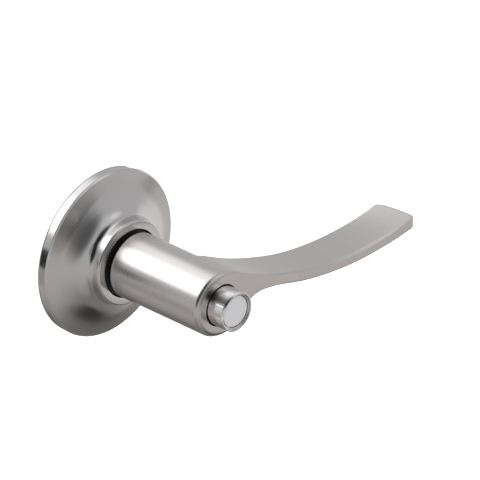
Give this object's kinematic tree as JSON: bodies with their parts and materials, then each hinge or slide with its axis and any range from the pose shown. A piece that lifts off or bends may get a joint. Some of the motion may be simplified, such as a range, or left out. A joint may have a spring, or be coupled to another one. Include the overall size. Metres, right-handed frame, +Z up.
{
  "type": "door lever handle",
  "caption": "Door lever handle with a domed round rose, a straight round neck with a push button in its end, and a long flat blade with a shallow sweep.",
  "frame": {"origin": "on the lever's axis, in the plane of the door's face", "axes": "+Y along the lever's axis into the door, -Y out of the door towards the user, +X towards the tip of the blade, +Z up"},
  "size_m": [0.137, 0.0943, 0.0666],
  "materials": {
    "satin_nickel": "satin nickel plate, finely brushed",
    "polished_nickel": "satin nickel plate, brighter on the rim and the collar",
    "turned_steel": "bright turned steel",
    "pale_insert": "pale matte",
    "black_nylon": "moulded, matte black",
    "zinc_plate": "zinc-plated steel",
    "spring_steel": "drawn and tempered",
    "white_nylon": "moulded, natural white"
  },
  "bodies": {
    "trim": {"rose": "polished_nickel", "mount_plate": "zinc_plate", "spring_cage": "zinc_plate", "cage_rivet_1": "spring_steel", "cage_rivet_2": "spring_steel", "cage_rivet_3": "spring_steel", "cage_rivet_4": "spring_steel", "bearing_bush": "black_nylon", "mounting_screw_1": "zinc_plate", "mounting_screw_2": "zinc_plate", "return_spring": "spring_steel"},
    "lever": {"lever": "satin_nickel", "drive_hub": "zinc_plate", "hub_core": "white_nylon", "cam_plate": "zinc_plate", "thrust_washer": "spring_steel", "retaining_ring": "spring_steel", "spindle": "zinc_plate", "button_guide": "black_nylon", "catch_spring": "spring_steel", "button_spring": "spring_steel"},
    "catch": {"lever_catch": "spring_steel"},
    "button": {"button_cap": "turned_steel", "button_insert": "pale_insert", "button_stem": "turned_steel", "stem_clip": "spring_steel", "lock_bar": "zinc_plate", "link_pin": "spring_steel"}
  },
  "joints": [
    {"name": "lever_turn", "type": "hinge", "parent": "trim", "child": "lever", "pos_m": [0, 0, 0], "axis": [0, 1, 0], "range_deg": [-50, 50], "stiffness_Nm_per_rad": 1.4, "springref_deg": -2.01, "deforming": ["return_spring"]},
    {"name": "button_push", "type": "slide", "parent": "lever", "child": "button", "axis": [0, 1, 0], "range_m": [0, 0.0045], "stiffness_N_per_m": 600, "springref_m": -0.004, "deforming": ["button_spring"]},
    {"name": "catch_slide", "type": "slide", "parent": "lever", "child": "catch", "axis": [0, 0, 1], "range_m": [0, 0.002], "stiffness_N_per_m": 500, "springref_m": -0.002, "deforming": ["catch_spring"]}
  ]
}
